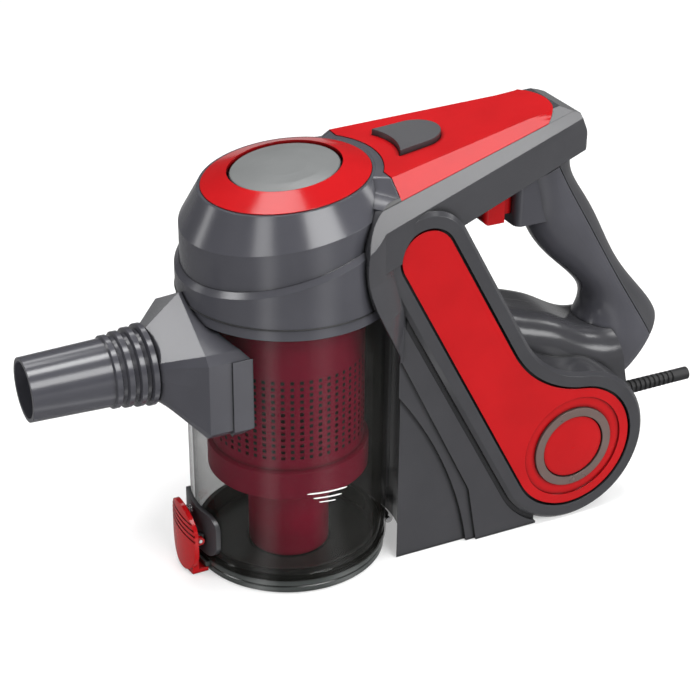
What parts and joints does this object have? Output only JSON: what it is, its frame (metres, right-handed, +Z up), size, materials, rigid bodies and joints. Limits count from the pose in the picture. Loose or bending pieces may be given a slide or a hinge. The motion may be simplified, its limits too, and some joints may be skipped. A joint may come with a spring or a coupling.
{
  "type": "handheld vacuum",
  "caption": "Handheld cyclone vacuum cleaner with a clear dust cup under a motor head, a short round nozzle, a looped grip with trigger, a cup release button and a drop-open cup lid.",
  "frame": {"origin": "middle of the dust cup's base, on the surface that the cleaner stands on", "axes": "+Z up along the cup's axis, +X from the nozzle towards the grip and strain relief, +Y towards the right-hand side of the case"},
  "size_m": [0.3956, 0.1154, 0.2301],
  "materials": {
    "grey_shell": "satin moulded plastic",
    "red_trim": "gloss moulded plastic",
    "dark_plastic": "fine grain moulded plastic",
    "silver_trim": "satin metal-look plastic",
    "smoke_clear": "clear smoke-tinted plastic",
    "rubber_black": "matt rubber",
    "steel": "ground steel",
    "aluminium": "cast aluminium",
    "copper": "enamelled copper",
    "filter_paper": "pleated filter paper",
    "carbon": "pressed carbon"
  },
  "bodies": {
    "body": {"frame_left": "grey_shell", "frame_right": "grey_shell", "head_shell": "grey_shell", "top_ring": "red_trim", "top_disc": "silver_trim", "arm_cover": "red_trim", "grip": "grey_shell", "grip_back": "dark_plastic", "side_panel_left": "red_trim", "side_panel_right": "red_trim", "side_ring_left": "silver_trim", "side_ring_right": "silver_trim", "side_cap_left": "red_trim", "side_cap_right": "red_trim", "strain_relief": "rubber_black", "capacitor": "dark_plastic", "switch": "dark_plastic", "trigger_spring": "steel", "release_spring": "steel", "cup_latch_spring": "steel", "case_screws": "steel", "motor_deck": "dark_plastic", "motor_ring": "rubber_black", "fan_cover": "aluminium", "motor_plate": "dark_plastic", "lower_bearing": "steel", "upper_bearing": "steel", "stator_core": "steel", "field_coils": "copper", "motor_bracket": "steel", "brushes": "carbon", "brush_holders": "dark_plastic"},
    "rotor": {"fan": "aluminium", "motor_shaft": "steel", "fan_nut": "steel", "armature": "steel", "commutator": "copper"},
    "trigger": {"trigger": "red_trim"},
    "release": {"release_button": "dark_plastic", "release_rod": "dark_plastic"},
    "cup_latch": {"cup_latch": "dark_plastic"},
    "cup": {"dust_cup": "smoke_clear", "cup_collar": "grey_shell", "cup_seal": "rubber_black", "cyclone_shroud": "red_trim", "dust_tube": "red_trim", "filter_frame": "dark_plastic", "filter_pleats": "filter_paper", "inlet_duct": "grey_shell", "inlet_spigot": "grey_shell", "lid_hinge_pin": "steel", "latch_bracket": "dark_plastic", "latch_pin": "steel", "latch_spring": "steel"},
    "lid": {"cup_lid": "dark_plastic", "lid_seal": "rubber_black"},
    "lid_latch": {"lid_latch": "red_trim"}
  },
  "joints": [
    {"name": "rotor_spin", "type": "hinge", "parent": "body", "child": "rotor", "pos_m": [0, 0, 0.18], "axis": [0, 0, 1], "continuous": true},
    {"name": "trigger_pull", "type": "slide", "parent": "body", "child": "trigger", "axis": [1, 0, 0], "range_m": [0, 0.004], "stiffness_N_per_m": 800, "springref_m": -0.002, "deforming": ["trigger_spring"]},
    {"name": "release_press", "type": "slide", "parent": "body", "child": "release", "axis": [0, 0, -1], "range_m": [0, 0.003], "stiffness_N_per_m": 900, "springref_m": -0.003, "deforming": ["release_spring"]},
    {"name": "cup_latch_slide", "type": "slide", "parent": "body", "child": "cup_latch", "axis": [1, 0, 0], "range_m": [0, 0.003], "stiffness_N_per_m": 400, "springref_m": -0.003, "deforming": ["cup_latch_spring"]},
    {"name": "cup_drop", "type": "slide", "parent": "body", "child": "cup", "axis": [0, 0, -1], "range_m": [0, 0.06]},
    {"name": "lid_open", "type": "hinge", "parent": "cup", "child": "lid", "pos_m": [0.0554, 0, 0.0026], "axis": [0, -1, 0], "range_deg": [0, 95]},
    {"name": "latch_rock", "type": "hinge", "parent": "cup", "child": "lid_latch", "pos_m": [-0.0562, 0, 0.022], "axis": [0, 1, 0], "range_deg": [0, 6], "stiffness_Nm_per_rad": 0.3, "springref_deg": -5.73, "deforming": ["latch_spring"]}
  ],
  "couplings": [
    {"joint": "cup_latch_slide", "follows": "release_press", "ratio": 1}
  ]
}
